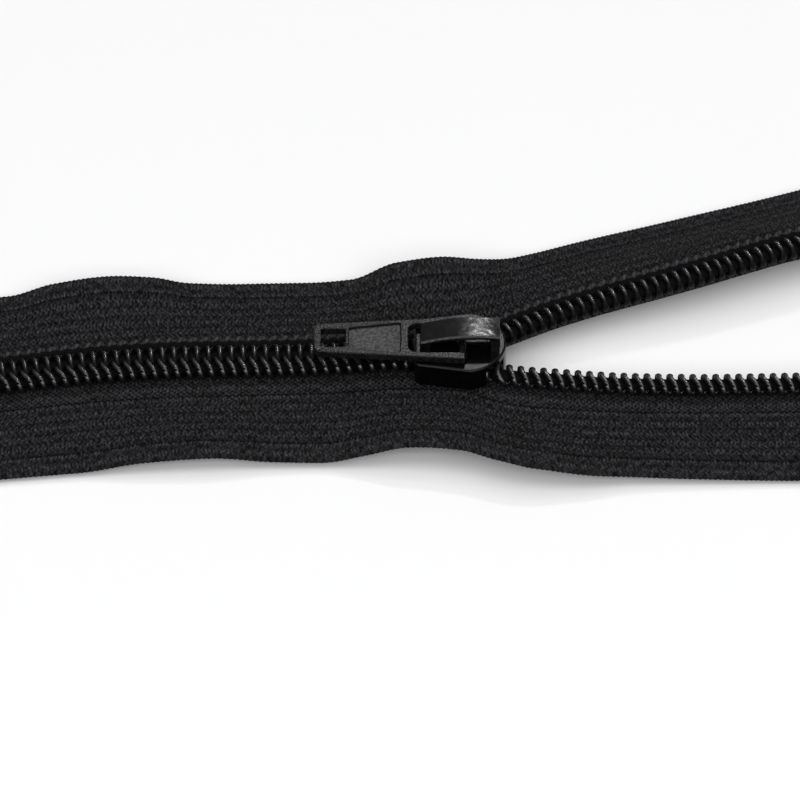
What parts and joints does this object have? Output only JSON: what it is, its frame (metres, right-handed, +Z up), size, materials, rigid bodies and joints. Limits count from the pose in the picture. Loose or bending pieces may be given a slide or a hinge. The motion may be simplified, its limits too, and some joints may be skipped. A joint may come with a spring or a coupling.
{
  "type": "coil zipper",
  "caption": "Closed-end coil zipper with black woven tapes, interlocking coil rows parting at an auto-lock slider, and a flat tapered pull with a small hole",
  "frame": {"origin": "on the surface the zipper lies on, under the middle of its bounding box", "axes": "+X along the chain towards the open end, +Y across it towards the tape that swings away, +Z up"},
  "size_m": [0.1836, 0.0678, 0.007],
  "materials": {
    "tape": "woven polyester tape, matt",
    "coil": "drawn monofilament, satin gloss",
    "cord": "twisted filler cord",
    "thread": "twisted sewing thread",
    "stop": "satin black enamel",
    "slider": "black enamel over a die casting",
    "crown": "smooth glossy black enamel",
    "spring": "blackened spring steel",
    "pull": "sand-textured black enamel with smooth rims"
  },
  "bodies": {
    "chain": {"far_tape": "tape", "near_tape": "tape", "far_coil": "coil", "near_coil": "coil", "far_cord": "cord", "near_cord": "cord", "far_inner_needle_thread": "thread", "far_outer_needle_thread": "thread", "far_inner_looper_thread": "thread", "far_outer_looper_thread": "thread", "near_inner_needle_thread": "thread", "near_outer_needle_thread": "thread", "near_inner_looper_thread": "thread", "near_outer_looper_thread": "thread", "bottom_stop": "stop", "far_top_stop": "stop", "near_top_stop": "stop"},
    "slider": {"slider_body": "slider", "slider_crown": "crown"},
    "pull": {"pull_tab": "pull"},
    "lock": {"lock_spring": "spring"}
  },
  "joints": [
    {"name": "slider_travel", "type": "slide", "parent": "chain", "child": "slider", "axis": [1, 0, 0], "range_m": [-0.024, 0.02], "deforming": ["far_tape", "near_tape", "far_coil", "near_coil", "far_cord", "near_cord", "far_inner_needle_thread", "far_outer_needle_thread", "far_inner_looper_thread", "far_outer_looper_thread", "near_inner_needle_thread", "near_outer_needle_thread", "near_inner_looper_thread", "near_outer_looper_thread"]},
    {"name": "pull_hinge", "type": "hinge", "parent": "slider", "child": "pull", "pos_m": [0.0111, -0.01, 0.00519], "axis": [0, 1, 0], "range_deg": [0, 180]},
    {"name": "lock_lift", "type": "slide", "parent": "slider", "child": "lock", "axis": [0, 0, 1], "range_m": [0, 0.00015], "stiffness_N_per_m": 200}
  ]
}
